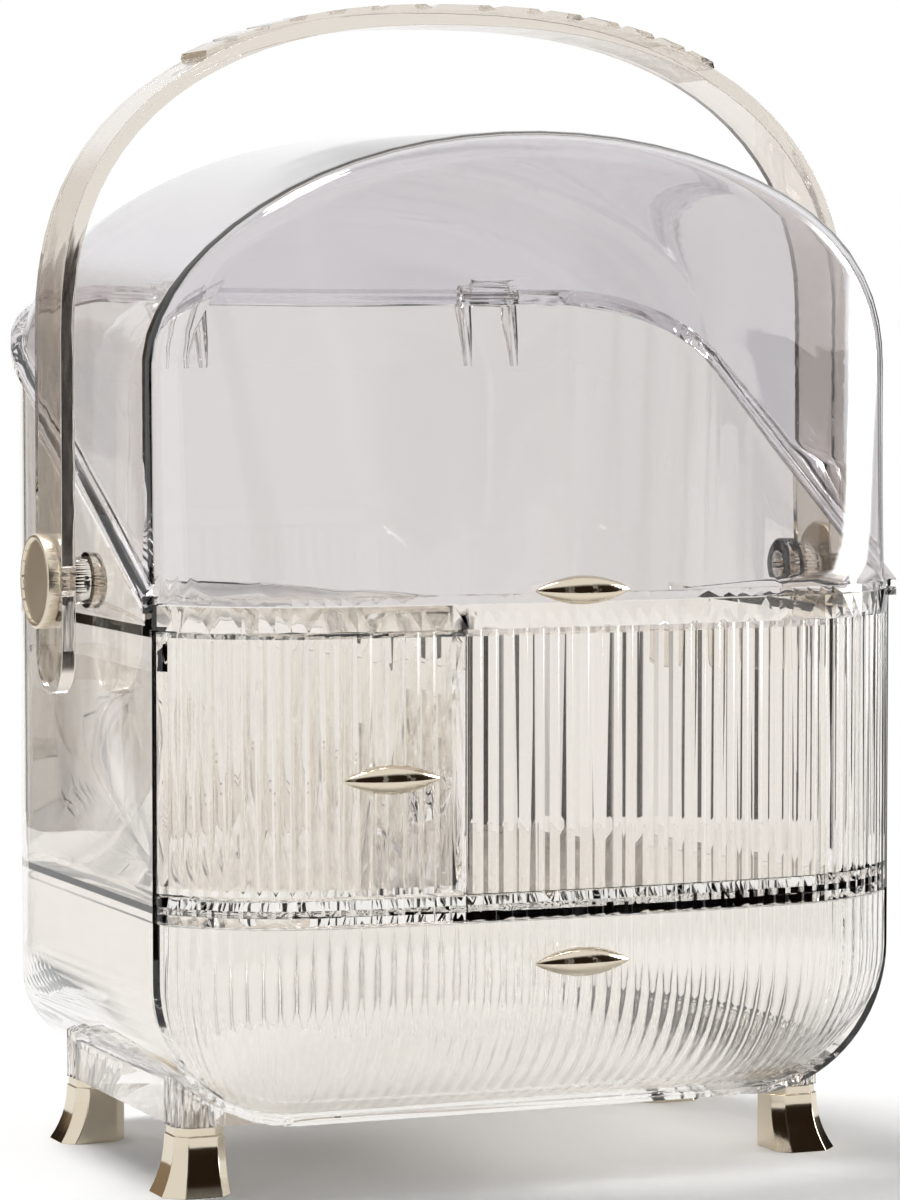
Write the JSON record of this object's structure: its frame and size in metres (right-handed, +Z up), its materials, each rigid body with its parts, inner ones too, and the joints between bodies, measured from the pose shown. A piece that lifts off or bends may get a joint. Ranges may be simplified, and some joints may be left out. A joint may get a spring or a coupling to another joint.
{
  "type": "makeup organizer",
  "caption": "Clear cosmetics case on flared feet, with a hinged dome lid, swinging arch handle, open bin and ribbed bow-front drawers.",
  "frame": {"origin": "on the table, under the handle's axis and midway between the side walls", "axes": "+X is right as seen from the front, +Y is back towards the hinges, +Z is up"},
  "size_m": [0.3032, 0.2332, 0.3974],
  "materials": {
    "clear_case": "injection-moulded clear polystyrene, polished, faintly champagne",
    "clear_lid": "injection-moulded clear polystyrene, polished, faintly smoky",
    "clear_drawer": "injection-moulded clear polystyrene with pressed ribs",
    "clear_handle": "injection-moulded clear polystyrene, thick and cut like glass",
    "gold_plate": "champagne-gold electroplated ABS, polished",
    "steel": "plain steel"
  },
  "bodies": {
    "case": {"case_shell": "clear_case", "middle_shelf": "clear_case", "bin_divider": "clear_case", "bin_front": "clear_case", "deck_tray": "clear_case", "hinge_pin_left": "steel", "hinge_pin_right": "steel", "pivot_axle_left": "clear_handle", "pivot_axle_right": "clear_handle", "pivot_disc_left": "gold_plate", "pivot_disc_right": "gold_plate", "pivot_nut_left": "clear_handle", "pivot_nut_right": "clear_handle", "foot_front_left": "gold_plate", "foot_front_right": "gold_plate", "foot_rear_left": "gold_plate", "foot_rear_right": "gold_plate", "foot_screws": "steel"},
    "upper_drawer": {"upper_drawer": "clear_drawer", "upper_drawer_pull": "gold_plate"},
    "lower_drawer": {"lower_drawer_tray": "clear_drawer", "lower_drawer_front": "clear_drawer", "lower_drawer_pull": "gold_plate"},
    "lid": {"lid_dome": "clear_lid", "lid_pull": "gold_plate"},
    "handle": {"handle_arch": "clear_handle", "handle_grip": "clear_handle"}
  },
  "joints": [
    {"name": "handle_swing", "type": "hinge", "parent": "case", "child": "handle", "pos_m": [0, 0, 0.202], "axis": [-1, 0, 0], "range_deg": [0, 128]},
    {"name": "lid_hinge", "type": "hinge", "parent": "case", "child": "lid", "pos_m": [0, 0.113, 0.29926], "axis": [-1, 0, 0], "range_deg": [0, 95]},
    {"name": "upper_drawer_slide", "type": "slide", "parent": "case", "child": "upper_drawer", "axis": [0, -1, 0], "range_m": [0, 0.12]},
    {"name": "lower_drawer_slide", "type": "slide", "parent": "case", "child": "lower_drawer", "axis": [0, -1, 0], "range_m": [0, 0.12]}
  ],
  "couplings": [
    {"joint": "lid_hinge", "follows": "handle_swing", "ratio": 0.55}
  ]
}
